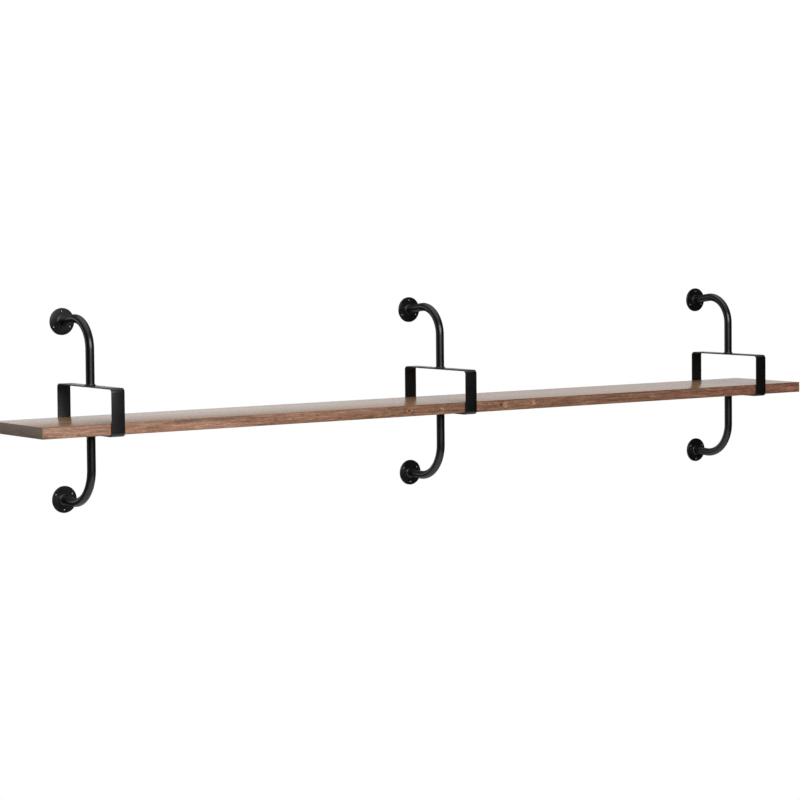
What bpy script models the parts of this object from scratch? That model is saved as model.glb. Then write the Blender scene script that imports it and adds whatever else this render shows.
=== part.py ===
"""Wall shelf: one long veneered board carried by three black tube-and-strap wall brackets.

Units are metres. X runs along the shelf, Y runs into the wall (wall face at y = 0) and Z is up.
The origin is the centre of the back face of the middle bracket's upper wall flange.
"""

import math

import bmesh
import bpy
from mathutils import Matrix, Vector

# Bracket positions along the shelf.
BRACKETS = {"left": -1.035, "middle": 0.0, "right": 1.015}

# Heights, measured from the centres of the upper flanges.
BOARD_TOP = -0.2315
LOWER_FLANGE_Z = -0.4330

# Fitting gap left between pieces that touch on the real shelf.
GAP = 0.0003

# Board: a core with face veneers and edge bands.
BOARD_LEFT = -1.2315
BOARD_LENGTH = 2.400
BOARD_DEPTH = 0.258
BOARD_THICK = 0.0275
BOARD_BACK = -0.0115
BAND = 0.0015
VENEER = 0.0010
ARRIS = 0.0004

# Rectangular strap loop that the board passes through. The board's lower arrises bear on the
# inside of the bent corners, which leaves it a little above the flat of the bottom strap.
STRAP_WIDE = 0.035
STRAP_THICK = 0.003
STRAP_EDGE = 0.0005
LOOP_BACK = -0.0055
LOOP_DEPTH = 0.270
LOOP_ABOVE_BOARD = 0.0825
LOOP_RADIUS = 0.010
CORNER_STEPS = 4
BOARD_LIFT = 0.0017
LOOP_TOP = BOARD_TOP + LOOP_ABOVE_BOARD
LOOP_LOW = BOARD_TOP - BOARD_THICK - BOARD_LIFT - STRAP_THICK

# Bent tubes, on the loop's centre line. Each arm slopes away from the board's level as it leaves
# the wall, so it turns through its slope and a right angle more. The upper bend is the tighter.
TUBE_RADIUS = 0.01065
TUBE_WALL = 0.0026
TUBE_Y = LOOP_BACK - LOOP_DEPTH / 2
UPPER_BEND = 0.0715
UPPER_SLOPE = math.radians(7.9)
LOWER_BEND = 0.087
LOWER_SLOPE = math.radians(3.3)
BEND_STEPS = 8
TUBE_SIDES = 16

# Wall flanges and their screw holes.
FLANGE_RADIUS = 0.033
FLANGE_THICK = 0.0045
FLANGE_ROUND = 0.0012
FLANGE_SIDES = 36
RIM_STEPS = 2
HOLES = 3
HOLE_CIRCLE = 0.0255
HOLE_RADIUS = 0.0015
HOLE_SIDES = 12
SINK_RADIUS = 0.0036
SINK_DEEP = 0.0018

# Fillet welds round the tube ends. The hollow of the face lies at this share of the leg.
WELD_LEG = 0.0038
WELD_HOLLOW = 0.36

# Countersunk screws that hold the board down on each loop.
SCREW_OFFSET = 0.070
SCREW_ROWS = {"front": TUBE_Y - SCREW_OFFSET, "back": TUBE_Y + SCREW_OFFSET}
SCREW_LENGTH = 0.022
SCREW_RADIUS = 0.0019
SCREW_HEAD = 0.0038
SCREW_HEAD_DEEP = 0.0022
SCREW_POINT = 0.004
DRIVE_RADIUS = 0.0013
DRIVE_DEEP = 0.0013
DRIVE_SIDES = 6
SCREW_SIDES = 12
PLAY = 0.0003
OVERRUN = 0.002

# Edges that turn further than this are shaded crisp.
SHARP_EDGE = math.radians(35)

# Turns a piece built along +Z so that it points out of the wall, the same upside down, or down.
OUT_OF_WALL = (math.pi / 2, 0.0, 0.0)
OUT_UPSIDE_DOWN = (math.pi / 2, math.pi, 0.0)
POINTING_DOWN = (math.pi, 0.0, 0.0)


def clear_scene():
    for obj in list(bpy.data.objects):
        bpy.data.objects.remove(obj, do_unlink=True)


def paint(name, colour, roughness):
    material = bpy.data.materials.new(name)
    material.use_nodes = True
    shader = material.node_tree.nodes["Principled BSDF"]
    shader.inputs["Base Color"].default_value = (*colour, 1.0)
    shader.inputs["Roughness"].default_value = roughness
    material.diffuse_color = (*colour, 1.0)
    return material


def finish_mesh(name, bm, material=None, smooth=True):
    bmesh.ops.recalc_face_normals(bm, faces=bm.faces)
    mesh = bpy.data.meshes.new(name)
    bm.to_mesh(mesh)
    bm.free()
    if smooth:
        mesh.shade_smooth()
        mesh.set_sharp_from_angle(angle=SHARP_EDGE)
    if material:
        mesh.materials.append(material)
    return mesh


def place(name, mesh, parent=None, location=(0.0, 0.0, 0.0), rotation=(0.0, 0.0, 0.0)):
    obj = bpy.data.objects.new(name, mesh)
    bpy.context.scene.collection.objects.link(obj)
    obj.location = location
    obj.rotation_euler = rotation
    obj.parent = parent
    return obj


def cut(obj, cutter_mesh):
    """Subtracts one closed mesh from an object and keeps the cutter out of the render."""
    cutter = place(obj.name + "_cutter", cutter_mesh, obj.parent, obj.location, obj.rotation_euler)
    cutter.hide_render = True
    cutter.display_type = "WIRE"
    modifier = obj.modifiers.new("cut", "BOOLEAN")
    modifier.operation = "DIFFERENCE"
    modifier.solver = "EXACT"
    modifier.object = cutter


def add_box(bm, low, high, arris=0.0):
    """Adds a box between two corners, its twelve edges chamfered by arris."""
    size = Vector(high) - Vector(low)
    middle = (Vector(high) + Vector(low)) / 2
    made = bmesh.ops.create_cube(bm, size=1.0)
    bmesh.ops.scale(bm, vec=size, verts=made["verts"])
    bmesh.ops.translate(bm, vec=middle, verts=made["verts"])
    if arris:
        bmesh.ops.bevel(bm, geom=bm.edges[:], offset=arris, segments=1, affect="EDGES")


def add_turned(bm, profile, sides, at=(0.0, 0.0, 0.0)):
    """Adds (radius, height) points turned about a vertical axis through a point.

    A profile that starts and ends at zero radius makes a solid; any other makes a ring.
    """
    rings = []
    for radius, height in profile:
        count = sides if radius > 0.0 else 1
        ring = []
        for step in range(count):
            angle = 2 * math.pi * step / sides
            point = Vector((radius * math.cos(angle), radius * math.sin(angle), height))
            ring.append(bm.verts.new(point + Vector(at)))
        rings.append(ring)
    bands = list(zip(rings, rings[1:]))
    if profile[0][0] > 0.0:
        bands.append((rings[-1], rings[0]))
    for first, second in bands:
        for step in range(sides):
            after = (step + 1) % sides
            corners = (
                first[step % len(first)],
                first[after % len(first)],
                second[after % len(second)],
                second[step % len(second)],
            )
            bm.faces.new(list(dict.fromkeys(corners)))


def skin_rings(bm, bands):
    """Fills quads between pairs of rings that have the same number of points."""
    for first, second in bands:
        for step in range(len(first)):
            after = (step + 1) % len(first)
            bm.faces.new((first[step], first[after], second[after], second[step]))


def flange_mesh(material):
    """A round wall plate with an eased front rim, its back at z = 0."""
    thick, radius = FLANGE_THICK, FLANGE_RADIUS
    profile = [(0.0, 0.0), (radius, 0.0)]
    for step in range(RIM_STEPS + 1):
        angle = math.pi / 2 * step / RIM_STEPS
        inset = FLANGE_ROUND * (1 - math.cos(angle))
        profile.append((radius - inset, thick - FLANGE_ROUND * (1 - math.sin(angle))))
    profile.append((0.0, thick))
    bm = bmesh.new()
    add_turned(bm, profile, FLANGE_SIDES)
    return finish_mesh("flange", bm, material)


def flange_drill_mesh():
    """Three countersunk screw holes on a circle, the first of them at the top."""
    thick = FLANGE_THICK
    hole = [
        (0.0, -OVERRUN),
        (HOLE_RADIUS, -OVERRUN),
        (HOLE_RADIUS, thick - SINK_DEEP),
        (SINK_RADIUS, thick),
        (SINK_RADIUS, thick + OVERRUN),
        (0.0, thick + OVERRUN),
    ]
    bm = bmesh.new()
    for turn in range(HOLES):
        angle = math.pi / 2 + 2 * math.pi * turn / HOLES
        centre = (HOLE_CIRCLE * math.cos(angle), HOLE_CIRCLE * math.sin(angle), 0.0)
        add_turned(bm, hole, HOLE_SIDES, centre)
    return finish_mesh("flange_drill", bm, smooth=False)


def tube_mesh(name, way, flange_z, loop_z, bend, slope, material):
    """A round tube from the wall flange, over a bend and straight to the loop.

    way is 1 for the upper tube, which turns down, and -1 for the lower one, which turns up.
    The wall end is cut parallel to the wall.
    """
    straight = -TUBE_Y - bend * (1 + math.sin(slope))
    centre_y = TUBE_Y + bend
    centre_z = flange_z + way * (straight * math.tan(slope) - bend * math.cos(slope))
    stations = []
    for step in range(BEND_STEPS + 1):
        angle = (math.pi / 2 + slope) * step / BEND_STEPS - slope
        y = centre_y - bend * math.sin(angle)
        z = centre_z + way * bend * math.cos(angle)
        stations.append((y, z, angle))
    stations.append((TUBE_Y, loop_z, math.pi / 2))
    wall_y = -(FLANGE_THICK + GAP)
    wall_z = flange_z - way * wall_y * math.tan(slope)

    bm = bmesh.new()
    shells = []
    for radius in (TUBE_RADIUS, TUBE_RADIUS - TUBE_WALL):
        circle = []
        for step in range(TUBE_SIDES):
            angle = 2 * math.pi * step / TUBE_SIDES
            circle.append((radius * math.cos(angle), radius * math.sin(angle)))
        cut_end = [(side, wall_y, wall_z + way * over / math.cos(slope)) for side, over in circle]
        rings = [[bm.verts.new(point) for point in cut_end]]
        for y, z, tilt in stations:
            ring = []
            for side, over in circle:
                point = (side, y - over * math.sin(tilt), z + way * over * math.cos(tilt))
                ring.append(bm.verts.new(point))
            rings.append(ring)
        shells.append(rings)
    outer, inner = shells
    skin_rings(bm, zip(outer, outer[1:]))
    skin_rings(bm, zip(inner, inner[1:]))
    skin_rings(bm, ((outer[0], inner[0]), (outer[-1], inner[-1])))
    return finish_mesh(name, bm, material)


def loop_outline(inset):
    """(y, z) points round the strap loop, at a depth inside its outer face."""
    front = LOOP_BACK - LOOP_DEPTH
    radius = LOOP_RADIUS - inset
    centres = (
        (LOOP_BACK - LOOP_RADIUS, LOOP_TOP - LOOP_RADIUS),
        (front + LOOP_RADIUS, LOOP_TOP - LOOP_RADIUS),
        (front + LOOP_RADIUS, LOOP_LOW + LOOP_RADIUS),
        (LOOP_BACK - LOOP_RADIUS, LOOP_LOW + LOOP_RADIUS),
    )
    points = []
    for corner, (y, z) in enumerate(centres):
        for step in range(CORNER_STEPS + 1):
            angle = math.pi / 2 * (corner + step / CORNER_STEPS)
            points.append((y + radius * math.cos(angle), z + radius * math.sin(angle)))
    return points


def loop_mesh(material):
    """A closed rectangle of flat strap with bent corners and eased edges."""
    half, ease, thick = STRAP_WIDE / 2, STRAP_EDGE, STRAP_THICK
    section = (
        (half - ease, 0.0),
        (half, ease),
        (half, thick - ease),
        (half - ease, thick),
        (ease - half, thick),
        (-half, thick - ease),
        (-half, ease),
        (ease - half, 0.0),
    )
    bm = bmesh.new()
    rows = []
    for side, inset in section:
        rows.append([bm.verts.new((side, y, z)) for y, z in loop_outline(inset)])
    skin_rings(bm, zip(rows, rows[1:] + rows[:1]))
    return finish_mesh("strap_loop", bm, material)


def loop_drill_mesh():
    """The countersunk holes in the bottom strap for the board screws."""
    hole = [
        (0.0, -OVERRUN),
        (SCREW_HEAD + PLAY, -OVERRUN),
        (SCREW_HEAD + PLAY, 0.0),
        (SCREW_RADIUS + PLAY, SCREW_HEAD_DEEP),
        (SCREW_RADIUS + PLAY, STRAP_THICK + OVERRUN),
        (0.0, STRAP_THICK + OVERRUN),
    ]
    bm = bmesh.new()
    for y in SCREW_ROWS.values():
        add_turned(bm, hole, SCREW_SIDES, (0.0, y, LOOP_LOW))
    return finish_mesh("loop_drill", bm, smooth=False)


def weld_mesh(name, material, lean=0.0):
    """A fillet weld: a ring of hollow-faced section standing on z = 0 round a tube.

    lean is the slope of a tube that meets a wall flange, upwards in the mesh's own Y.
    """
    inner = TUBE_RADIUS + GAP
    hollow = WELD_LEG * WELD_HOLLOW
    profile = [(inner, 0.0), (inner + WELD_LEG, 0.0), (inner + hollow, hollow), (inner, WELD_LEG)]
    bm = bmesh.new()
    add_turned(bm, profile, TUBE_SIDES)
    from_wall = FLANGE_THICK + GAP
    for vert in bm.verts:
        rise = (from_wall + vert.co.z) * math.tan(lean)
        vert.co.y = vert.co.y / math.cos(lean) + rise
    return finish_mesh(name, bm, material)


def screw_mesh(material):
    """A countersunk screw standing on the flat of its head."""
    profile = [
        (0.0, 0.0),
        (SCREW_HEAD, 0.0),
        (SCREW_RADIUS, SCREW_HEAD_DEEP),
        (SCREW_RADIUS, SCREW_LENGTH - SCREW_POINT),
        (0.0, SCREW_LENGTH),
    ]
    bm = bmesh.new()
    add_turned(bm, profile, SCREW_SIDES)
    return finish_mesh("board_screw", bm, material)


def screw_socket_mesh():
    """The six-sided drive recess in a screw head."""
    socket = [(0.0, -OVERRUN), (DRIVE_RADIUS, -OVERRUN), (DRIVE_RADIUS, DRIVE_DEEP), (0.0, DRIVE_DEEP)]
    bm = bmesh.new()
    add_turned(bm, socket, DRIVE_SIDES)
    return finish_mesh("screw_socket", bm, smooth=False)


def pilot_mesh(start, end):
    """Cutter for the screw holes in the board, between two heights."""
    radius = SCREW_RADIUS + PLAY
    hole = [(0.0, start), (radius, start), (radius, end), (0.0, end)]
    bm = bmesh.new()
    for x in BRACKETS.values():
        for y in SCREW_ROWS.values():
            add_turned(bm, hole, SCREW_SIDES, (x, y, 0.0))
    return finish_mesh("pilot_holes", bm, smooth=False)


def board_piece(name, low, high, material, arris=0.0):
    bm = bmesh.new()
    add_box(bm, low, high, arris)
    return place(name, finish_mesh(name, bm, material, smooth=False))


def build_board(walnut, core_wood):
    """A core between face veneers, closed all round by edge bands."""
    left, right = BOARD_LEFT, BOARD_LEFT + BOARD_LENGTH
    back, front = BOARD_BACK, BOARD_BACK - BOARD_DEPTH
    top, low = BOARD_TOP, BOARD_TOP - BOARD_THICK
    inset = BAND + GAP
    x0, x1 = left + inset, right - inset
    y0, y1 = front + inset, back - inset
    board_piece("board_left_end_band", (left, front, low), (left + BAND, back, top), walnut, ARRIS)
    board_piece("board_right_end_band", (right - BAND, front, low), (right, back, top), walnut, ARRIS)
    board_piece("board_front_edge_band", (x0, front, low), (x1, front + BAND, top), walnut, ARRIS)
    board_piece("board_back_edge_band", (x0, back - BAND, low), (x1, back, top), walnut, ARRIS)
    board_piece("board_top_veneer", (x0, y0, top - VENEER), (x1, y1, top), walnut)

    bottom = board_piece("board_bottom_veneer", (x0, y0, low), (x1, y1, low + VENEER), walnut)
    cut(bottom, pilot_mesh(low - OVERRUN, low + VENEER + OVERRUN))

    core_low, core_top = low + VENEER + GAP, top - VENEER - GAP
    core = board_piece("board_core", (x0, y0, core_low), (x1, y1, core_top), core_wood)
    hole_end = LOOP_LOW + SCREW_LENGTH + PLAY
    cut(core, pilot_mesh(core_low - OVERRUN, hole_end))


def build_brackets(black, bright):
    flange, flange_drill = flange_mesh(black), flange_drill_mesh()
    upper_end, lower_end = LOOP_TOP + GAP, LOOP_LOW - GAP
    upper = tube_mesh("upper_tube", 1, 0.0, upper_end, UPPER_BEND, UPPER_SLOPE, black)
    lower = tube_mesh("lower_tube", -1, LOWER_FLANGE_Z, lower_end, LOWER_BEND, LOWER_SLOPE, black)
    loop, loop_drill = loop_mesh(black), loop_drill_mesh()
    upper_weld = weld_mesh("upper_weld", black, UPPER_SLOPE)
    lower_weld = weld_mesh("lower_weld", black, LOWER_SLOPE)
    loop_weld = weld_mesh("loop_weld", black)
    screw, socket = screw_mesh(bright), screw_socket_mesh()
    face = -(FLANGE_THICK + GAP)
    at_low = (0.0, 0.0, LOWER_FLANGE_Z)

    for side, x in BRACKETS.items():
        bracket = place(side + "_bracket", None, None, (x, 0.0, 0.0))
        cut(place(side + "_upper_flange", flange, bracket, (0, 0, 0), OUT_OF_WALL), flange_drill)
        cut(place(side + "_lower_flange", flange, bracket, at_low, OUT_UPSIDE_DOWN), flange_drill)
        place(side + "_upper_tube", upper, bracket)
        place(side + "_lower_tube", lower, bracket)
        cut(place(side + "_strap_loop", loop, bracket), loop_drill)
        place(side + "_upper_flange_weld", upper_weld, bracket, (0.0, face, 0.0), OUT_OF_WALL)
        on_low = (0.0, face, LOWER_FLANGE_Z)
        place(side + "_lower_flange_weld", lower_weld, bracket, on_low, OUT_UPSIDE_DOWN)
        place(side + "_loop_top_weld", loop_weld, bracket, (0.0, TUBE_Y, upper_end))
        under = (0.0, TUBE_Y, lower_end)
        place(side + "_loop_bottom_weld", loop_weld, bracket, under, POINTING_DOWN)
        for row, y in SCREW_ROWS.items():
            cut(place(side + "_board_screw_" + row, screw, bracket, (0.0, y, LOOP_LOW)), socket)


clear_scene()
black_metal = paint("metal_black", (0.018, 0.018, 0.019), 0.55)
black_screw = paint("screw_black", (0.030, 0.030, 0.032), 0.35)
walnut_veneer = paint("wood_walnut", (0.205, 0.110, 0.072), 0.45)
core_board = paint("wood_core", (0.420, 0.300, 0.190), 0.80)
build_board(walnut_veneer, core_board)
build_brackets(black_metal, black_screw)
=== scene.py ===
"""Looks for the wall shelf: a walnut-veneered board in three black tube-and-strap wall brackets.

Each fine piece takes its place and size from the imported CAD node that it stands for.
Units are metres: X along the shelf, Y into the wall (wall face at y = 0), Z up.
"""

import math
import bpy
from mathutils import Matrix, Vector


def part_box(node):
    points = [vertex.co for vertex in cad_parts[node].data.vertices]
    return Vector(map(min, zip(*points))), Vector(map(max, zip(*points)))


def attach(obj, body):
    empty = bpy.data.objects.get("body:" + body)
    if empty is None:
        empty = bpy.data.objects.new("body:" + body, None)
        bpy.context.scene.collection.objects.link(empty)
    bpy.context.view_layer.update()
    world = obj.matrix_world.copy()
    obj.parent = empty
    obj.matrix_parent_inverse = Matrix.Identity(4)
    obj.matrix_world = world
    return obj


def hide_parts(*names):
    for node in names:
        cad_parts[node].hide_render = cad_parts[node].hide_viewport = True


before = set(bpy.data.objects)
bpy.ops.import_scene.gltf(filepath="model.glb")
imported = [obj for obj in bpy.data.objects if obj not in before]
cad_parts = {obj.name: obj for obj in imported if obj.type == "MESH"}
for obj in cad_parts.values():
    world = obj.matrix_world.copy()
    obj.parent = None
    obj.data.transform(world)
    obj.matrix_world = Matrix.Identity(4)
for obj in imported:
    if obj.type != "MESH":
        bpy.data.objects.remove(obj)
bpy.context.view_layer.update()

import bmesh
import bpy
from mathutils import Matrix, Vector, noise

SIDES = ("left", "middle", "right")

# Edges between faces that meet at more than these angles, in degrees, are drawn sharp.
CREASE = 30
ROUND_CREASE = 40
BEAD_CREASE = 50
THREAD_CREASE = 25

# Tubes. The bore is a share of the radius. Each arm has its bend radius and its slope away from the wall.
TUBE_RADIUS = 0.01065
TUBE_BORE = 0.756
TUBE_SIDES = 64
BEND_STEPS = 40
STRAIGHT_STEPS = 4
BORE_DEPTH = 0.012
SQUEEZE = 0.012
ARMS = {"upper": (0.0715, math.radians(7.9)), "lower": (0.087, math.radians(3.3))}

# Wall flanges and their countersunk holes.
FLANGE_SIDES = 128
FLANGE_ROUND = 0.0012
FLANGE_ROUND_STEPS = 8
FLANGE_BURR = 0.0003
FACE_RING = 0.6
HOLES = 3
HOLE_SIDES = 32
HOLE_CIRCLE = 0.0255
HOLE_RADIUS = 0.0015
SINK_RADIUS = 0.0036
SINK_DEEP = 0.0018
SINK_LIP = 0.0003

# Strap loops.
STRAP_THICK = 0.003
STRAP_EASE = 0.0006
STRAP_EASE_STEPS = 5
LOOP_RADIUS = 0.010
CORNER_STEPS = 14

# Welds: a hollow face, the ripple of its beads and the slow wander of its edge. The hollow's radius is a
# share of the weld's leg, and its angles are in degrees.
WELD_PLAY = 0.0001
WELD_SHARE = 0.96
WELD_SIDES = 160
HOLLOW_RADIUS = 0.86
HOLLOW_ANGLES = (265, 185)
HOLLOW_STEPS = 9
BEADS = 34
BEAD_HEIGHT = 0.00010
WANDER = 0.00022
WANDER_SCALE = 2.2
FLANGE_WELD_SEED = 0.3
LOOP_WELD_SEED = 0.7

# Board screws. The thread's root is a share of the radius, and its valley lies at shares of the pitch.
SCREW_RADIUS = 0.0019
SCREW_SIDES = 36
SCREW_HEAD = 0.0038
SCREW_HEAD_DEEP = 0.0022
SCREW_HEAD_ROUND = 0.0002
SCREW_HEAD_ROUND_STEPS = 3
SCREW_SHANK = 0.002
SCREW_PITCH = 0.0016
SCREW_ROOT = 0.72
SCREW_VALLEY = (0.45, 0.80)
SCREW_POINT = 0.005
DRIVE_RADIUS = 0.0013
DRIVE_DEEP = 0.0013
DRIVE_SIDES = 6
HOLE_PLAY = 0.0003
STRAP_HOLE_SIDES = 40
VENEER_HOLE_SIDES = 24

# Board: how far its edges are rounded, and how.
ARRIS = 0.0004
VENEER_EASE = 0.0001
EASE_SEGMENTS = 3
EASE_PROFILE = 0.6

# How far a cutter reaches past the face that it cuts.
OVERRUN = 0.001

# Camera, in metres and degrees. Its lens and sensor are in millimetres and its shift in sensor widths.
CAMERA_AT = (-4.0211, -5.6139, 0.2472)
CAMERA_YAW = 35.426
CAMERA_PITCH = -2.498
CAMERA_ROLL = -0.504
CAMERA_LENS = 117.09
CAMERA_SENSOR = 36.0
CAMERA_SHIFT = -0.0875
CAMERA_CLIP_END = 200.0

# Floor: a disc that ends below the camera's view.
FLOOR_AT = (-0.3, -0.6, -1.75)
FLOOR_RADIUS = 2.5
FLOOR_SIDES = 128

# A soft box in front of the shelf.
KEY_AT = (-1.2, -4.5, 1.30)
KEY_TARGET = (-1.0, 0.0, 0.90)
KEY_SIZE = (3.4, 2.1)
KEY_POWER = 208.0

# The room's glow on the shelf. Behind the shelf a bright horizon fades from left to right. Each change of
# glow has the two direction components between which it happens: x right, y into the wall, z up.
FRONT_GLOW = 0.04
HORIZON_GLOW = (1.10, 0.89)
BACK_GLOW = 0.12
TOP_GLOW = 1.25
LOW_GLOW = 0.04
HORIZON_FADE_X = (0.50, 0.62)
HORIZON_TOP_Z = (0.14, 0.30)
FRONT_TO_BACK_Y = (0.15, 0.65)
CEILING_Z = (0.62, 0.90)
LOW_Z = (0.0, -0.12)
WHITE = (1.0, 1.0, 1.0, 1.0)

# Materials: pairs of the darkest and lightest tone, and ranges of roughness.
COAT_TONES = ((0.0014, 0.0014, 0.0014), (0.0030, 0.0030, 0.0030))
COAT_ROUGH = (0.29, 0.33)
COAT_SPECULAR = 0.55
OXIDE_TONES = ((0.020, 0.020, 0.022), (0.045, 0.045, 0.048))
OXIDE_ROUGH = (0.28, 0.42)
OXIDE_METALLIC = 0.7
CORE_TONES = ((0.34, 0.23, 0.14), (0.50, 0.37, 0.24))
CORE_ROUGH = 0.85
CHIPS_PER_METRE = (260.0, 420.0, 900.0)
FLOOR_TONES = ((0.93, 0.93, 0.93), (0.95, 0.95, 0.95))
FLOOR_ROUGH = 0.9
FLOOR_SPECULAR = 0.1

# The part of a noise's range that its values mostly fill.
NOISE_RANGE = (0.3, 0.7)

# Walnut: dark, middle and light wood, and where a figure value turns one into the next.
FACE_TONES = ((0.231, 0.122, 0.064), (0.330, 0.181, 0.100), (0.434, 0.253, 0.147))
EDGE_TONES = ((0.148, 0.071, 0.042), (0.287, 0.151, 0.094), (0.440, 0.256, 0.172))
# The end bands' tones are their wood's own, lightened as painted light for the light that falls on the
# shelf's ends.
END_TONES_WITH_PAINTED_LIGHT = ((0.185, 0.124, 0.092), (0.275, 0.190, 0.143), (0.370, 0.262, 0.200))
FACE_ROUGH = (0.21, 0.26)
EDGE_ROUGH = (0.34, 0.44)
END_ROUGH = (0.36, 0.46)
FACE_SPECULAR = 0.36
BAND_SPECULAR = 0.4
DARK_TO_MIDDLE = (0.38, 0.50)
MIDDLE_TO_LIGHT = (0.50, 0.62)
LACQUER_RANGE = (0.35, 0.65)
PORE_STRENGTH = 0.5
PORE_SHADE = 0.4

# The grain's slow wander: features for each metre, and how far it goes across and up.
DRIFT_ALONG = 1.6
DRIFT_OVER = 5.0
DRIFT_PLANE = 0.3
DRIFT_ACROSS = 0.030
DRIFT_UP = 0.008

# Growth rings: how deep under the cut the trunk's middle lies, how often that changes in a metre, how far
# the middle is to one side, and how the rings are spaced and wander.
RING_DEPTH = (0.004, 0.070)
RING_DEPTH_ALONG = 0.9
RING_DEPTH_PLANE = 4.7
RING_OFFSET = 0.155
RINGS_PER_METRE = 120.0
RING_DRIFT = 0.8

# Changes of tone along the shelf: (first x, last x, tint). The first is painted shade: the bands turn darker
# to the right, where less light falls. The second is the wood's own redder tone. Their place is uneven by a
# share of a noise.
SHADE_AND_TINTS_ALONG_SHELF = ((-0.55, -0.15, (0.76, 0.74, 0.72)), (0.60, 0.90, (1.06, 0.93, 0.98)))
SHADE_AND_TINT_UNEVEN = 0.35

# Edge bands: dark veins, light flecks and the glue line inside each arris.
VEIN_RANGE = (0.53, 0.64)
VEIN_STRENGTH = 0.75
VEIN_TINT = (0.66, 0.60, 0.58)
FLECK_RANGE = (0.56, 0.68)
FLECK_STRENGTH = 0.8
FLECK_TINT = (1.32, 1.30, 1.28)
GLUE_START = 0.0016
GLUE_FULL = 0.0006
GLUE_STRENGTH = 0.55
GLUE_TONE = (0.070, 0.038, 0.026)

# Marks on the edge bands: (x, z, half length, half height, shade). Shades under 1 are darker. They reach
# through the whole depth of the shelf, their outlines are shaken, and their full shade fills a core.
EDGE_MARKS = (
    (-0.1925, -0.2447, 0.0130, 0.0100, 1.70),
    (-0.1925, -0.2447, 0.0065, 0.0042, 0.25),
    (-0.1800, -0.2480, 0.0070, 0.0028, 0.50),
    (-0.0900, -0.2470, 0.0130, 0.0100, 1.80),
    (-0.0960, -0.2470, 0.0060, 0.0045, 0.35),
    (0.1160, -0.2430, 0.0120, 0.0110, 1.75),
    (0.1010, -0.2425, 0.0065, 0.0080, 0.40),
    (0.2075, -0.2422, 0.0200, 0.0095, 1.80),
    (0.2000, -0.2430, 0.0060, 0.0050, 0.32),
    (0.2170, -0.2400, 0.0055, 0.0042, 0.36),
    (-0.8500, -0.2370, 0.0600, 0.0070, 0.70),
    (-0.7500, -0.2380, 0.0450, 0.0060, 0.72),
    (1.1350, -0.2505, 0.0220, 0.0110, 1.50),
    (1.1300, -0.2500, 0.0060, 0.0040, 0.60),
)
MARK_REACH = 1.0
MARK_SHAKE = 0.006
MARK_CORE = 0.3


# ---------------------------------------------------------------- mesh helpers


def add_piece(node, bm, material, crease=CREASE):
    """Makes an object of a mesh, shades it and says which CAD node it stands for."""
    bmesh.ops.recalc_face_normals(bm, faces=bm.faces)
    mesh = bpy.data.meshes.new(node + "_fine")
    bm.to_mesh(mesh)
    bm.free()
    mesh.shade_smooth()
    mesh.set_sharp_from_angle(angle=math.radians(crease))
    mesh.materials.append(material)
    piece = bpy.data.objects.new(node + "_fine", mesh)
    bpy.context.scene.collection.objects.link(piece)
    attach(piece, "root")
    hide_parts(node)
    return piece


def cut(piece, cutter_bm, crease=CREASE):
    """Subtracts a mesh from a piece and keeps only the result."""
    bmesh.ops.recalc_face_normals(cutter_bm, faces=cutter_bm.faces)
    mesh = bpy.data.meshes.new("cutter")
    cutter_bm.to_mesh(mesh)
    cutter_bm.free()
    cutter = bpy.data.objects.new("cutter", mesh)
    bpy.context.scene.collection.objects.link(cutter)
    modifier = piece.modifiers.new("cut", "BOOLEAN")
    modifier.operation = "DIFFERENCE"
    modifier.solver = "EXACT"
    modifier.object = cutter
    bpy.context.view_layer.update()
    graph = bpy.context.evaluated_depsgraph_get()
    result = bpy.data.meshes.new_from_object(piece.evaluated_get(graph))
    piece.modifiers.clear()
    piece.data = result
    result.shade_smooth()
    result.set_sharp_from_angle(angle=math.radians(crease))
    bpy.data.objects.remove(cutter, do_unlink=True)


def turned(bm, profile, sides, place, swell=None):
    """Adds a solid of (radius, height) points turned about local Z.

    An outline that starts at no radius ends there too. Any other outline closes on itself, as a ring.
    swell gives what is added to the radius at a radius, height and angle.
    """
    rings = []
    for radius, height in profile:
        ring = []
        for step in range(sides if radius > 0.0 else 1):
            angle = 2 * math.pi * step / sides
            reach = radius + (swell(radius, height, angle) if swell else 0.0)
            point = Vector((reach * math.cos(angle), reach * math.sin(angle), height))
            ring.append(bm.verts.new(place @ point))
        rings.append(ring)
    bands = list(zip(rings, rings[1:]))
    if profile[0][0] > 0.0:
        bands.append((rings[-1], rings[0]))
    for first, second in bands:
        for step in range(sides):
            after = (step + 1) % sides
            corners = (
                first[step % len(first)],
                first[after % len(first)],
                second[after % len(second)],
                second[step % len(second)],
            )
            bm.faces.new(list(dict.fromkeys(corners)))


def skin(bm, first, second):
    """Fills quads between two rings that have the same number of points."""
    for step in range(len(first)):
        after = (step + 1) % len(first)
        bm.faces.new((first[step], first[after], second[after], second[step]))


def arc(centre, radius, start, end, steps):
    """Points of an arc in a plane, angles in degrees."""
    points = []
    for step in range(steps + 1):
        angle = math.radians(start + (end - start) * step / steps)
        points.append((centre[0] + radius * math.cos(angle), centre[1] + radius * math.sin(angle)))
    return points


def out_of_wall(x, y, z, way=1):
    """Local Z points out of the wall and local Y up, or down when way is -1."""
    spin = Matrix.Rotation(0.0 if way > 0 else math.pi, 4, "Z")
    return Matrix.Translation((x, y, z)) @ Matrix.Rotation(math.pi / 2, 4, "X") @ spin


def upright(x, y, z, way=1):
    """Local Z points up, or down when way is -1."""
    flip = Matrix.Rotation(0.0 if way > 0 else math.pi, 4, "X")
    return Matrix.Translation((x, y, z)) @ flip


def node_box(name):
    """Lowest and highest corner of a CAD node's box."""
    low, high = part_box(name)
    return Vector(low), Vector(high)


def node_middle(name):
    """Middle of a CAD node's box."""
    low, high = node_box(name)
    return (low + high) / 2


def way_of(level):
    """The upper tube bends down and the lower one bends up."""
    return 1 if level == "upper" else -1


# ---------------------------------------------------------------- materials


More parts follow.
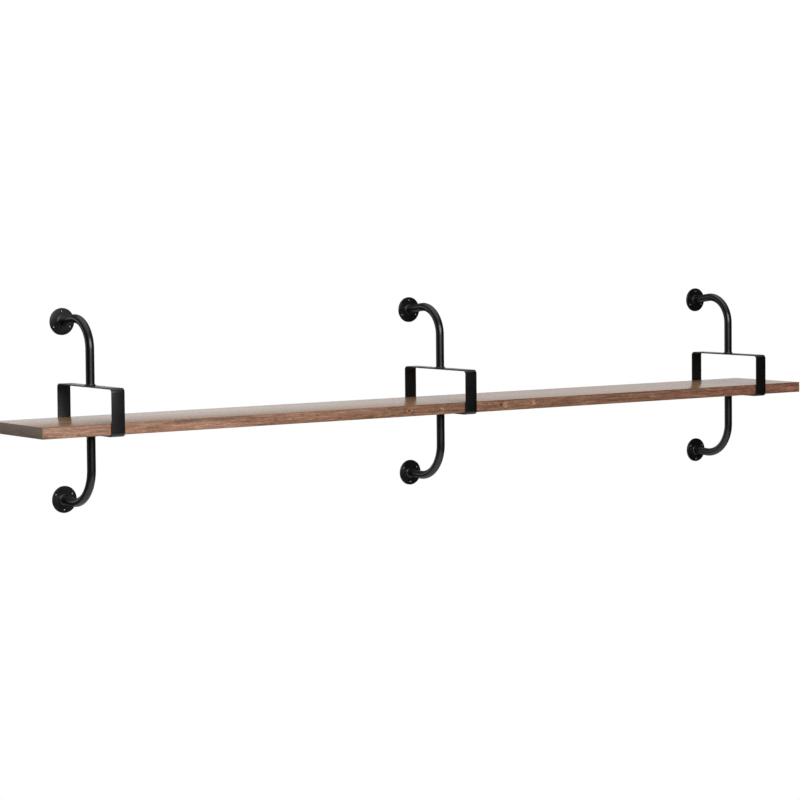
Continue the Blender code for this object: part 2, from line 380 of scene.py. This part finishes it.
class Nodes:
    """A node tree that is written one line for each node."""

    def __init__(self, tree, coordinates):
        self.tree = tree
        self.coords = tree.nodes.new("ShaderNodeTexCoord").outputs[coordinates]

    def feed(self, socket, value):
        """Sets a socket to a constant, or links it to another node's output."""
        if isinstance(value, bpy.types.NodeSocket):
            self.tree.links.new(value, socket)
        else:
            socket.default_value = value

    def noise(self, vector, scale=1.0, detail=4.0, roughness=0.5, distortion=0.0):
        node = self.tree.nodes.new("ShaderNodeTexNoise")
        self.feed(node.inputs["Vector"], vector)
        node.inputs["Scale"].default_value = scale
        node.inputs["Detail"].default_value = detail
        node.inputs["Roughness"].default_value = roughness
        node.inputs["Distortion"].default_value = distortion
        return node.outputs["Fac"]

    def math(self, operation, first, second=0.0):
        node = self.tree.nodes.new("ShaderNodeMath")
        node.operation = operation
        self.feed(node.inputs[0], first)
        self.feed(node.inputs[1], second)
        return node.outputs["Value"]

    def add(self, first, second):
        return self.math("ADD", first, second)

    def times(self, first, second):
        return self.math("MULTIPLY", first, second)

    def blend(self, parts):
        """Weighted sum of (weight, value) pairs."""
        total = None
        for weight, value in parts:
            part = self.times(value, weight)
            total = part if total is None else self.add(total, part)
        return total

    def span(self, value, low, high, to_low=0.0, to_high=1.0):
        """Maps a value smoothly from one range to another."""
        node = self.tree.nodes.new("ShaderNodeMapRange")
        node.interpolation_type = "SMOOTHSTEP"
        ends = {"From Min": low, "From Max": high, "To Min": to_low, "To Max": to_high}
        for key, number in ends.items():
            self.feed(node.inputs[key], number)
        self.feed(node.inputs["Value"], value)
        return node.outputs["Result"]

    def mix(self, amount, first, second, blend="MIX"):
        node = self.tree.nodes.new("ShaderNodeMix")
        node.data_type = "RGBA"
        node.blend_type = blend
        self.feed(node.inputs[0], amount)
        for socket, colour in ((node.inputs[6], first), (node.inputs[7], second)):
            self.feed(socket, colour if isinstance(colour, bpy.types.NodeSocket) else (*colour, 1.0))
        return node.outputs[2]

    def combine(self, x, y, z):
        node = self.tree.nodes.new("ShaderNodeCombineXYZ")
        for socket, value in zip(node.inputs, (x, y, z)):
            self.feed(socket, value)
        return node.outputs["Vector"]

    def separate(self, vector):
        node = self.tree.nodes.new("ShaderNodeSeparateXYZ")
        self.feed(node.inputs["Vector"], vector)
        return node.outputs["X"], node.outputs["Y"], node.outputs["Z"]


class Finish(Nodes):
    """A Principled material with textures in object space."""

    def __init__(self, name):
        self.material = bpy.data.materials.new(name)
        self.material.use_nodes = True
        super().__init__(self.material.node_tree, "Object")
        self.surface = self.tree.nodes["Principled BSDF"]

    def bump(self, height, strength, distance, normal=None):
        node = self.tree.nodes.new("ShaderNodeBump")
        node.inputs["Strength"].default_value = strength
        node.inputs["Distance"].default_value = distance
        self.feed(node.inputs["Height"], height)
        if normal:
            self.feed(node.inputs["Normal"], normal)
        return node.outputs["Normal"]

    def spot(self, vector, centre, reach):
        """One in the core of an ellipsoid with the given half sizes, falling to nothing at its surface."""
        node = self.tree.nodes.new("ShaderNodeMapping")
        node.vector_type = "TEXTURE"
        self.feed(node.inputs["Vector"], vector)
        node.inputs["Location"].default_value = centre
        node.inputs["Scale"].default_value = reach
        length = self.tree.nodes.new("ShaderNodeVectorMath")
        length.operation = "LENGTH"
        self.feed(length.inputs[0], node.outputs["Vector"])
        return self.span(length.outputs["Value"], 1.0, MARK_CORE)

    def use(self, **sockets):
        """Feeds sockets of the surface, which are named with _ for each space."""
        for name, value in sockets.items():
            self.feed(self.surface.inputs[name.replace("_", " ")], value)
        return self.material


def powder_coat():
    """Fine-textured black powder coat: small grain, faint orange peel and uneven sheen."""
    finish = Finish("black_powder_coat")
    grain = finish.noise(finish.coords, scale=2600.0, detail=2.0, roughness=0.6)
    peel = finish.noise(finish.coords, scale=420.0, detail=2.0, roughness=0.5)
    patch = finish.noise(finish.coords, scale=22.0, detail=4.0, roughness=0.6)
    tone = finish.span(finish.blend(((0.6, patch), (0.4, grain))), *NOISE_RANGE)
    normal = finish.bump(peel, strength=0.02, distance=0.0002)
    normal = finish.bump(grain, strength=0.02, distance=0.0001, normal=normal)
    return finish.use(
        Base_Color=finish.mix(tone, *COAT_TONES),
        Roughness=finish.span(patch, *NOISE_RANGE, *COAT_ROUGH),
        Specular_IOR_Level=COAT_SPECULAR,
        Normal=normal,
    )


def black_oxide():
    """Oiled black oxide on the screws, with fine lighter scratches."""
    finish = Finish("black_oxide")
    scratch = finish.noise(finish.coords, scale=1800.0, detail=3.0, roughness=0.6)
    return finish.use(
        Base_Color=finish.mix(scratch, *OXIDE_TONES),
        Metallic=OXIDE_METALLIC,
        Roughness=finish.span(scratch, *NOISE_RANGE, *OXIDE_ROUGH),
        Normal=finish.bump(scratch, strength=0.2, distance=0.00005),
    )


def raw_core():
    """Raw board core: packed chips."""
    finish = Finish("raw_core")
    axes = finish.separate(finish.coords)
    cell = finish.tree.nodes.new("ShaderNodeTexVoronoi")
    cell.inputs["Scale"].default_value = 1.0
    chips = [finish.times(axis, count) for axis, count in zip(axes, CHIPS_PER_METRE)]
    finish.feed(cell.inputs["Vector"], finish.combine(*chips))
    tone = finish.separate(cell.outputs["Color"])[0]
    return finish.use(
        Base_Color=finish.mix(tone, *CORE_TONES),
        Roughness=CORE_ROUGH,
        Normal=finish.bump(tone, strength=0.4, distance=0.0003),
    )


class Walnut(Finish):
    """Satin-lacquered walnut veneer with its grain along X (along is 0) or Y (along is 1)."""

    def __init__(self, name, along):
        super().__init__(name)
        axes = self.separate(self.coords)
        self.run, self.cross, self.height = axes[along], axes[1 - along], axes[2]
        run, cross = self.times(self.run, DRIFT_ALONG), self.times(self.cross, DRIFT_OVER)
        drift = self.centred(self.noise(self.combine(run, cross, DRIFT_PLANE), detail=3.0))
        self.across = self.add(self.cross, self.times(drift, DRIFT_ACROSS))
        self.level = self.add(self.height, self.times(drift, DRIFT_UP))

    def centred(self, value):
        """A noise moved from around a half to around zero."""
        return self.math("SUBTRACT", value, 0.5)

    def grain(self, along, over, detail, roughness=0.6, distortion=0.0):
        """Noise drawn out along the grain; along and over are features for each metre."""
        place = self.combine(
            self.times(self.run, along),
            self.times(self.across, over),
            self.times(self.level, over),
        )
        return self.noise(place, detail=detail, roughness=roughness, distortion=distortion)

    def rings(self):
        """Growth rings cut almost along the trunk, which gives tall arches and straight lines."""
        place = self.combine(self.times(self.run, RING_DEPTH_ALONG), 0.0, RING_DEPTH_PLANE)
        depth = self.span(self.noise(place, detail=2.0), *NOISE_RANGE, *RING_DEPTH)
        offset = self.add(self.across, RING_OFFSET)
        far = self.math("SQRT", self.add(self.times(offset, offset), self.times(depth, depth)))
        place = self.combine(self.times(far, RINGS_PER_METRE), self.times(self.run, RING_DRIFT), 0.0)
        return self.noise(place, detail=3.0, roughness=0.6)

    def paint(self, tones, figure, pores):
        """Mixes dark, middle and light wood by the figure and adds dark pores."""
        dark, middle, light = tones
        colour = self.mix(self.span(figure, *DARK_TO_MIDDLE), dark, middle)
        colour = self.mix(self.span(figure, *MIDDLE_TO_LIGHT), colour, light)
        pore_tone = tuple(PORE_SHADE * channel for channel in dark)
        return self.mix(self.times(pores, PORE_STRENGTH), colour, pore_tone)

    def paint_shade_and_redden(self, colour):
        """Painted shade darkens the veneer towards the right of the shelf; then the wood turns a little
        redder.
        """
        uneven = self.centred(self.noise(self.coords, scale=9.0, detail=3.0))
        place = self.add(self.run, self.times(uneven, SHADE_AND_TINT_UNEVEN))
        # The first tint is painted shade for light that falls off to the right; the second is the wood's
        # redder tone.
        for start, end, tint in SHADE_AND_TINTS_ALONG_SHELF:
            colour = self.mix(self.span(place, start, end), colour, tint, "MULTIPLY")
        return colour

    def lacquer(self, colour, figure, pores, rough, specular):
        """Satin lacquer, which follows the figure a little and dips into the pores."""
        normal = self.bump(figure, strength=0.10, distance=0.0002)
        solid = self.math("SUBTRACT", 1.0, pores)
        normal = self.bump(solid, strength=0.25, distance=0.0001, normal=normal)
        return self.use(
            Base_Color=colour,
            Roughness=self.span(figure, *LACQUER_RANGE, *rough),
            Specular_IOR_Level=specular,
            Normal=normal,
        )


def walnut_face():
    """Face veneer with arched rings, straight streaks and open pores."""
    finish = Walnut("walnut_face", 0)
    streaks = finish.grain(along=11.0, over=520.0, detail=4.0)
    blotch = finish.grain(along=1.3, over=26.0, detail=3.0)
    figure = finish.blend(((0.30, blotch), (0.46, finish.rings()), (0.24, streaks)))
    pores = finish.span(finish.grain(along=70.0, over=2600.0, detail=2.0), 0.60, 0.72)
    colour = finish.paint(FACE_TONES, figure, pores)
    return finish.lacquer(colour, figure, pores, FACE_ROUGH, FACE_SPECULAR)


def walnut_edge():
    """Front and back edge bands: close straight grain, pin knots and a dark glue line at each arris."""
    finish = Walnut("walnut_edge", 0)
    blotch = finish.grain(along=6.0, over=75.0, detail=3.0)
    bands = finish.grain(along=24.0, over=260.0, detail=3.0, distortion=0.3)
    streaks = finish.grain(along=90.0, over=420.0, detail=3.0)
    figure = finish.blend(((0.26, blotch), (0.40, bands), (0.34, streaks)))
    pores = finish.span(finish.grain(along=160.0, over=2600.0, detail=2.0), 0.58, 0.72)
    # Painted shade darkens the bands towards the right, and the wood turns a little redder there too.
    colour = finish.paint_shade_and_redden(finish.paint(EDGE_TONES, figure, pores))
    veins = finish.span(finish.grain(along=4.5, over=210.0, detail=2.0), *VEIN_RANGE, 0.0, VEIN_STRENGTH)
    colour = finish.mix(veins, colour, VEIN_TINT, "MULTIPLY")
    flecks = finish.span(finish.grain(along=40.0, over=330.0, detail=2.0), *FLECK_RANGE, 0.0, FLECK_STRENGTH)
    colour = finish.mix(flecks, colour, FLECK_TINT, "MULTIPLY")

    low, high = node_box("board_front_edge_band")
    middle, half = (low + high) / 2, (high.z - low.z) / 2
    shake = finish.centred(finish.noise(finish.coords, scale=260.0, detail=3.0))
    shake = finish.times(shake, MARK_SHAKE)
    shaken = finish.combine(finish.add(finish.run, shake), finish.cross, finish.add(finish.height, shake))
    for x, z, length, rise, shade in EDGE_MARKS:
        mask = finish.spot(shaken, (x, middle.y, z), (length, MARK_REACH, rise))
        colour = finish.mix(mask, colour, (shade, shade, shade), "MULTIPLY")

    off_centre = finish.math("ABSOLUTE", finish.math("SUBTRACT", finish.height, middle.z))
    line = finish.span(off_centre, half - GLUE_START, half - GLUE_FULL, 0.0, GLUE_STRENGTH)
    colour = finish.mix(line, colour, GLUE_TONE)
    return finish.lacquer(colour, figure, pores, EDGE_ROUGH, BAND_SPECULAR)


def walnut_end():
    """End bands, with their grain across the shelf and their tones lightened as painted light."""
    finish = Walnut("walnut_end", 1)
    streaks = finish.grain(along=30.0, over=620.0, detail=4.0, roughness=0.65)
    blotch = finish.grain(along=6.0, over=70.0, detail=3.0)
    bands = finish.grain(along=14.0, over=240.0, detail=4.0)
    figure = finish.blend(((0.35, blotch), (0.35, bands), (0.30, streaks)))
    pores = finish.span(finish.grain(along=120.0, over=2600.0, detail=2.0), 0.60, 0.72)
    # The end tones are lightened as painted light on the end faces.
    colour = finish.paint(END_TONES_WITH_PAINTED_LIGHT, figure, pores)
    return finish.lacquer(colour, figure, pores, END_ROUGH, BAND_SPECULAR)


# ---------------------------------------------------------------- bracket pieces


def fine_flange(side, level, material):
    """Wall plate with a rounded rim and countersunk holes, one of them at the top or the bottom."""
    node = f"{side}_{level}_flange"
    low, high = node_box(node)
    centre, radius, thick = (low + high) / 2, (high.x - low.x) / 2, high.y - low.y
    rim_centre = (radius - FLANGE_ROUND, thick - FLANGE_ROUND)
    rim = arc(rim_centre, FLANGE_ROUND, 0, 90, FLANGE_ROUND_STEPS)
    profile = [(0.0, 0.0), (radius - FLANGE_BURR, 0.0), (radius, FLANGE_BURR)] + rim
    profile += [(radius * FACE_RING, thick), (0.0, thick)]
    bm = bmesh.new()
    turned(bm, profile, FLANGE_SIDES, out_of_wall(centre.x, high.y, centre.z))
    piece = add_piece(node, bm, material)

    drill = [
        (0.0, -OVERRUN),
        (HOLE_RADIUS, -OVERRUN),
        (HOLE_RADIUS, thick - SINK_DEEP),
        (SINK_RADIUS - SINK_LIP, thick - SINK_LIP),
        (SINK_RADIUS + SINK_LIP, thick + SINK_LIP / 2),
        (SINK_RADIUS + SINK_LIP, thick + OVERRUN),
        (0.0, thick + OVERRUN),
    ]
    first = 90 * way_of(level)
    bm = bmesh.new()
    for hole in range(HOLES):
        angle = math.radians(first + 360 * hole / HOLES)
        x = centre.x + HOLE_CIRCLE * math.cos(angle)
        z = centre.z + HOLE_CIRCLE * math.sin(angle)
        turned(bm, drill, HOLE_SIDES, out_of_wall(x, high.y, z))
    cut(piece, bm)


def tube_stations(tube_y, flange_z, loop_z, bend, slope, way):
    """(y, z, tilt) along a tube's centre line, from where its bend starts to the loop."""
    straight = -tube_y - bend * (1 + math.sin(slope))
    centre_y = tube_y + bend
    centre_z = flange_z + way * (straight * math.tan(slope) - bend * math.cos(slope))
    stations = []
    for step in range(BEND_STEPS + 1):
        angle = (math.pi / 2 + slope) * step / BEND_STEPS - slope
        y = centre_y - bend * math.sin(angle)
        stations.append((y, centre_z + way * bend * math.cos(angle), angle))
    end_z = stations[-1][1]
    for step in range(STRAIGHT_STEPS):
        z = end_z + (loop_z - end_z) * (step + 1) / STRAIGHT_STEPS
        stations.append((tube_y, z, math.pi / 2))
    return stations


def tube_ring(bm, x, y, z, lean, rise):
    """A ring across a tube. Its point at a quarter turn lies lean radii along Y and rise radii along Z."""
    ring = []
    for step in range(TUBE_SIDES):
        angle = 2 * math.pi * step / TUBE_SIDES
        across = TUBE_RADIUS * math.cos(angle)
        over = TUBE_RADIUS * math.sin(angle)
        ring.append(bm.verts.new((x + across, y + over * lean, z + over * rise)))
    return ring


def fine_tube(side, level, material):
    """Bent round tube: a sloping arm, a smooth bend and a straight run to the loop, open at its ends."""
    node = f"{side}_{level}_tube"
    low, high = node_box(node)
    x, wall_y = (low.x + high.x) / 2, high.y
    way = way_of(level)
    bend, slope = ARMS[level]
    flange_z = node_middle(f"{side}_{level}_flange").z
    loop_z = low.z if way > 0 else high.z
    stations = tube_stations(low.y + TUBE_RADIUS, flange_z, loop_z, bend, slope, way)

    # The wall end is cut parallel to the wall, which makes its ring a little taller.
    start_y, start_z = stations[0][:2]
    wall_z = flange_z - way * wall_y * math.tan(slope)
    bm = bmesh.new()
    rings = []
    for step in range(STRAIGHT_STEPS):
        share = step / STRAIGHT_STEPS
        y = wall_y + (start_y - wall_y) * share
        z = wall_z + (start_z - wall_z) * share
        rise = (1 - share) / math.cos(slope) + share * math.cos(slope)
        rings.append(tube_ring(bm, x, y, z, share * math.sin(slope), way * rise))
    for y, z, tilt in stations:
        # Bending flattens a tube a little in the plane of the bend.
        flat = 1.0 - SQUEEZE * max(0.0, math.sin(2 * tilt))
        rings.append(tube_ring(bm, x, y, z, -flat * math.sin(tilt), way * flat * math.cos(tilt)))
    for first, second in zip(rings, rings[1:]):
        skin(bm, first, second)
    ends = (
        (rings[0], Vector((x, wall_y, wall_z)), Vector((0.0, -math.cos(slope), way * math.sin(slope)))),
        (rings[-1], Vector((x, stations[-1][0], loop_z)), Vector((0.0, 0.0, way))),
    )
    for ring, centre, inward in ends:
        bore = [bm.verts.new(centre + (vert.co - centre) * TUBE_BORE) for vert in ring]
        deep = [bm.verts.new(vert.co + inward * BORE_DEPTH) for vert in bore]
        skin(bm, ring, bore)
        skin(bm, bore, deep)
        bm.faces.new(deep)
    add_piece(node, bm, material)


def fine_loop(side, material):
    """Flat strap bent into a closed rectangle, with rolled edges and countersunk holes below."""
    node = f"{side}_strap_loop"
    low, high = node_box(node)
    x, half = (low.x + high.x) / 2, (high.x - low.x) / 2

    def outline(inset):
        radius = LOOP_RADIUS - inset
        centres = (
            (high.y - LOOP_RADIUS, high.z - LOOP_RADIUS),
            (low.y + LOOP_RADIUS, high.z - LOOP_RADIUS),
            (low.y + LOOP_RADIUS, low.z + LOOP_RADIUS),
            (high.y - LOOP_RADIUS, low.z + LOOP_RADIUS),
        )
        points = []
        for corner, centre in enumerate(centres):
            points += arc(centre, radius, 90 * corner, 90 * corner + 90, CORNER_STEPS)
        return points

    ease = STRAP_EASE
    corners = (
        (half - ease, ease),
        (half - ease, STRAP_THICK - ease),
        (ease - half, STRAP_THICK - ease),
        (ease - half, ease),
    )
    section = []
    for number, corner in enumerate(corners):
        section += arc(corner, ease, 90 * number - 90, 90 * number, STRAP_EASE_STEPS)
    bm = bmesh.new()
    rows = [[bm.verts.new((x + across, y, z)) for y, z in outline(inset)] for across, inset in section]
    for first, second in zip(rows, rows[1:] + rows[:1]):
        skin(bm, first, second)
    piece = add_piece(node, bm, material, ROUND_CREASE)

    drill = [
        (0.0, -OVERRUN),
        (SCREW_HEAD + HOLE_PLAY, -OVERRUN),
        (SCREW_HEAD + HOLE_PLAY, 0.0),
        (SCREW_RADIUS + HOLE_PLAY, SCREW_HEAD_DEEP),
        (SCREW_RADIUS + HOLE_PLAY, STRAP_THICK + OVERRUN),
        (0.0, STRAP_THICK + OVERRUN),
    ]
    bm = bmesh.new()
    for row in ("front", "back"):
        centre = node_middle(f"{side}_board_screw_{row}")
        turned(bm, drill, STRAP_HOLE_SIDES, upright(centre.x, centre.y, low.z))
    cut(piece, bm, ROUND_CREASE)


def fine_weld(node, place, material, seed, from_wall=0.0, lean=0.0):
    """Fillet bead round a tube: a hollow face with low, uneven ripples.

    On a flange the bead follows a tube that leans by its slope from the wall.
    """
    low, high = node_box(node)
    inner = TUBE_RADIUS + WELD_PLAY
    leg = min(high - low)
    face = arc((inner + leg, leg), leg * HOLLOW_RADIUS, *HOLLOW_ANGLES, HOLLOW_STEPS)

    def ripple(radius, height, angle):
        if radius <= inner or height <= 0.0:
            return 0.0
        beads = BEAD_HEIGHT * (math.sin(BEADS * angle + seed) - 1)
        around = (WANDER_SCALE * math.cos(angle), WANDER_SCALE * math.sin(angle), seed)
        return beads + WANDER * noise.noise(Vector(around))

    profile = [(inner, 0.0), (inner + leg * WELD_SHARE, 0.0)] + face + [(inner, leg * WELD_SHARE)]
    bm = bmesh.new()
    turned(bm, profile, WELD_SIDES, Matrix.Identity(4), ripple)
    for vert in bm.verts:
        vert.co.y = vert.co.y / math.cos(lean) + (from_wall + vert.co.z) * math.tan(lean)
        vert.co = place @ vert.co
    add_piece(node, bm, material, BEAD_CREASE)


def fine_screw(node, material):
    """Countersunk screw with a rounded head edge, a thread and a six-sided drive."""
    low, high = node_box(node)
    x, y = (low.x + high.x) / 2, (low.y + high.y) / 2
    length = high.z - low.z
    root = SCREW_RADIUS * SCREW_ROOT
    edge_centre = (SCREW_HEAD - SCREW_HEAD_ROUND, SCREW_HEAD_ROUND)
    edge = arc(edge_centre, SCREW_HEAD_ROUND, -90, 0, SCREW_HEAD_ROUND_STEPS)
    height = SCREW_HEAD_DEEP + SCREW_SHANK
    profile = [(0.0, 0.0)] + edge + [(SCREW_RADIUS, SCREW_HEAD_DEEP), (SCREW_RADIUS, height)]
    while height < length - SCREW_POINT - SCREW_PITCH:
        profile += [(root, height + SCREW_PITCH * share) for share in SCREW_VALLEY]
        height += SCREW_PITCH
        profile.append((SCREW_RADIUS, height))
    profile += [(root, length - SCREW_POINT), (0.0, length)]
    bm = bmesh.new()
    turned(bm, profile, SCREW_SIDES, upright(x, y, low.z))
    piece = add_piece(node, bm, material, THREAD_CREASE)
    socket = [(0.0, -OVERRUN), (DRIVE_RADIUS, -OVERRUN), (DRIVE_RADIUS, DRIVE_DEEP), (0.0, DRIVE_DEEP)]
    bm = bmesh.new()
    turned(bm, socket, DRIVE_SIDES, upright(x, y, low.z))
    cut(piece, bm, THREAD_CREASE)


def build_bracket(number, side, black, oxide):
    """One bracket. Its number makes its welds differ from the other brackets' welds."""
    for level, (_, slope) in ARMS.items():
        fine_flange(side, level, black)
        fine_tube(side, level, black)
        node = f"{side}_{level}_flange_weld"
        back = node_box(node)[1].y
        flange = node_middle(f"{side}_{level}_flange")
        place = out_of_wall(flange.x, back, flange.z, way_of(level))
        fine_weld(node, place, black, number + FLANGE_WELD_SEED, -back, slope)
    fine_loop(side, black)
    for end, way in (("top", 1), ("bottom", -1)):
        node = f"{side}_loop_{end}_weld"
        low, high = node_box(node)
        base = low.z if way > 0 else high.z
        place = upright((low.x + high.x) / 2, (low.y + high.y) / 2, base, way)
        fine_weld(node, place, black, number + LOOP_WELD_SEED)
    for row in ("front", "back"):
        fine_screw(f"{side}_board_screw_{row}", oxide)


# ---------------------------------------------------------------- board


def fine_panel(node, material, ease):
    """A board piece with its edges rounded."""
    low, high = node_box(node)
    bm = bmesh.new()
    bmesh.ops.create_cube(bm, size=1.0)
    bmesh.ops.scale(bm, vec=high - low, verts=bm.verts)
    bmesh.ops.translate(bm, vec=(high + low) / 2, verts=bm.verts)
    bmesh.ops.bevel(
        bm, geom=bm.edges[:], offset=ease, segments=EASE_SEGMENTS, profile=EASE_PROFILE, affect="EDGES"
    )
    return add_piece(node, bm, material, ROUND_CREASE)


def build_board(edge_finish, face_finish, end_finish):
    """Bands and veneers, with clearance holes for the board screws in the bottom veneer."""
    fine_panel("board_front_edge_band", edge_finish, ARRIS)
    fine_panel("board_back_edge_band", edge_finish, ARRIS)
    fine_panel("board_left_end_band", end_finish, ARRIS)
    fine_panel("board_right_end_band", end_finish, ARRIS)
    fine_panel("board_top_veneer", face_finish, VENEER_EASE)
    bottom = fine_panel("board_bottom_veneer", face_finish, VENEER_EASE)
    low, high = node_box("board_bottom_veneer")
    radius, top = SCREW_RADIUS + HOLE_PLAY, high.z - low.z + OVERRUN
    drill = [(0.0, -OVERRUN), (radius, -OVERRUN), (radius, top), (0.0, top)]
    bm = bmesh.new()
    for side in SIDES:
        for row in ("front", "back"):
            centre = node_middle(f"{side}_board_screw_{row}")
            turned(bm, drill, VENEER_HOLE_SIDES, upright(centre.x, centre.y, low.z))
    cut(bottom, bm, ROUND_CREASE)


# ---------------------------------------------------------------- stage, light and camera


def build_floor():
    """A pale disc far below the shelf."""
    bpy.ops.mesh.primitive_circle_add(
        vertices=FLOOR_SIDES, radius=FLOOR_RADIUS, fill_type="NGON", location=FLOOR_AT
    )
    floor = bpy.context.object
    floor.name = "floor"
    finish = Finish("pale_floor")
    cloud = finish.noise(finish.coords, scale=0.6, detail=3.0)
    finish.use(
        Base_Color=finish.mix(cloud, *FLOOR_TONES),
        Roughness=FLOOR_ROUGH,
        Specular_IOR_Level=FLOOR_SPECULAR,
    )
    floor.data.materials.append(finish.material)


def soft_light(name, place, target, size, power):
    """A rectangular soft box at a place, turned to a target."""
    light = bpy.data.lights.new(name, "AREA")
    light.shape = "RECTANGLE"
    light.size, light.size_y = size
    light.energy = power
    lamp = bpy.data.objects.new(name, light)
    bpy.context.scene.collection.objects.link(lamp)
    lamp.location = place
    lamp.rotation_euler = (Vector(target) - Vector(place)).to_track_quat("-Z", "Y").to_euler()


def build_world():
    """A room that the camera sees as even white, and that lights the shelf from behind and above."""
    world = bpy.data.worlds.new("studio")
    world.use_nodes = True
    nodes = Nodes(world.node_tree, "Generated")
    x, y, z = nodes.separate(nodes.coords)
    horizon = nodes.span(x, *HORIZON_FADE_X, *HORIZON_GLOW)
    back = nodes.span(z, *HORIZON_TOP_Z, horizon, BACK_GLOW)
    glow = nodes.span(y, *FRONT_TO_BACK_Y, FRONT_GLOW, back)
    glow = nodes.span(z, *CEILING_Z, glow, TOP_GLOW)
    glow = nodes.span(z, *LOW_Z, glow, LOW_GLOW)
    seen = world.node_tree.nodes.new("ShaderNodeLightPath").outputs["Is Camera Ray"]
    background = world.node_tree.nodes["Background"]
    background.inputs["Color"].default_value = WHITE
    nodes.feed(background.inputs["Strength"], nodes.math("MAXIMUM", seen, glow))
    bpy.context.scene.world = world
    bpy.context.scene.view_settings.view_transform = "Standard"


def build_camera():
    """A long lens from the left and in front, turned by yaw to the right and tipped by pitch."""
    camera = bpy.data.cameras.new("camera")
    camera.sensor_width = CAMERA_SENSOR
    camera.lens = CAMERA_LENS
    camera.shift_y = CAMERA_SHIFT
    camera.clip_end = CAMERA_CLIP_END
    holder = bpy.data.objects.new("camera", camera)
    bpy.context.scene.collection.objects.link(holder)
    yaw, pitch, roll = (math.radians(angle) for angle in (CAMERA_YAW, CAMERA_PITCH, CAMERA_ROLL))
    turn = Matrix.Rotation(-yaw, 4, "Z") @ Matrix.Rotation(math.pi / 2 + pitch, 4, "X")
    turn = turn @ Matrix.Rotation(roll, 4, "Z")
    holder.matrix_world = Matrix.Translation(CAMERA_AT) @ turn
    bpy.context.scene.camera = holder


black = powder_coat()
oxide = black_oxide()
core = raw_core()
face = walnut_face()

# The imported CAD nodes get materials too: the black coat, oxide on the screws, the raw core on the board's
# core and face veneer on its other nodes.
for name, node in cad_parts.items():
    finish = black
    if name.startswith("board_"):
        finish = core if name == "board_core" else face
    elif "screw" in name:
        finish = oxide
    for slot in node.material_slots:
        slot.material = finish

build_board(walnut_edge(), face, walnut_end())
for number, side in enumerate(SIDES):
    build_bracket(number, side, black, oxide)
build_floor()
build_world()
soft_light("key", KEY_AT, KEY_TARGET, KEY_SIZE, KEY_POWER)
build_camera()
